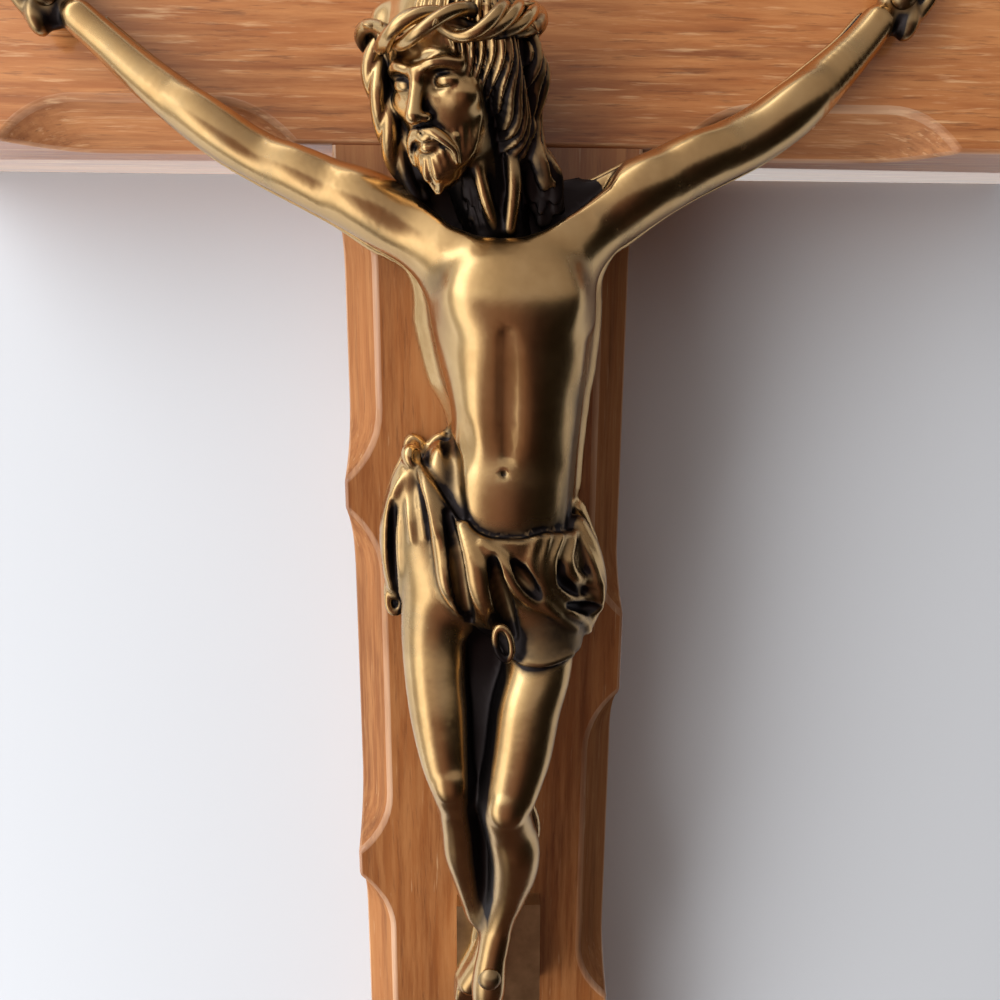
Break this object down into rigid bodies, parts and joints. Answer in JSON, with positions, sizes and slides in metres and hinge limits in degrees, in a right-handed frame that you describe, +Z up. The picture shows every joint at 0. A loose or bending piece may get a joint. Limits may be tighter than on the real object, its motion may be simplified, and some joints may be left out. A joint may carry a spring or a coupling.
{
  "type": "wall crucifix",
  "caption": "Wall crucifix: lapped oak cross with hewn scalloped edges, cast brass figure nailed on, bare plate above the head and a swinging hanger ring in a pocket at the back.",
  "frame": {"origin": "middle of the crossing of the two beams, on the back that lies against the wall", "axes": "+Z up along the upright, +X along the crossbeam to the viewer's right, +Y into the wall; the figure looks along -Y"},
  "size_m": [0.164, 0.0437, 0.27],
  "materials": {
    "oak": "stained oak under clear gloss lacquer",
    "antique_brass": "satin polish on the high places, dark patina in the hollows",
    "dark_brass": "dark patina, worn heads",
    "zinc_steel": "zinc plated",
    "hanger_brass": "bright brass plating"
  },
  "bodies": {
    "cross": {"upright_beam": "oak", "crossbeam": "oak", "corpus_body": "antique_brass", "left_arm": "antique_brass", "right_arm": "antique_brass", "foot_rest": "antique_brass", "left_hand_nail": "dark_brass", "right_hand_nail": "dark_brass", "foot_nail": "dark_brass", "titulus_plate": "antique_brass", "titulus_pins": "dark_brass", "lap_screws": "zinc_steel", "hanger_plate": "hanger_brass", "hanger_screws": "hanger_brass"},
    "hanger_ring": {"hanger_ring": "hanger_brass"}
  },
  "joints": [
    {"name": "ring_swing", "type": "hinge", "parent": "cross", "child": "hanger_ring", "pos_m": [0, -0.0024, 0.041], "axis": [1, 0, 0], "range_deg": [0, 180]}
  ]
}
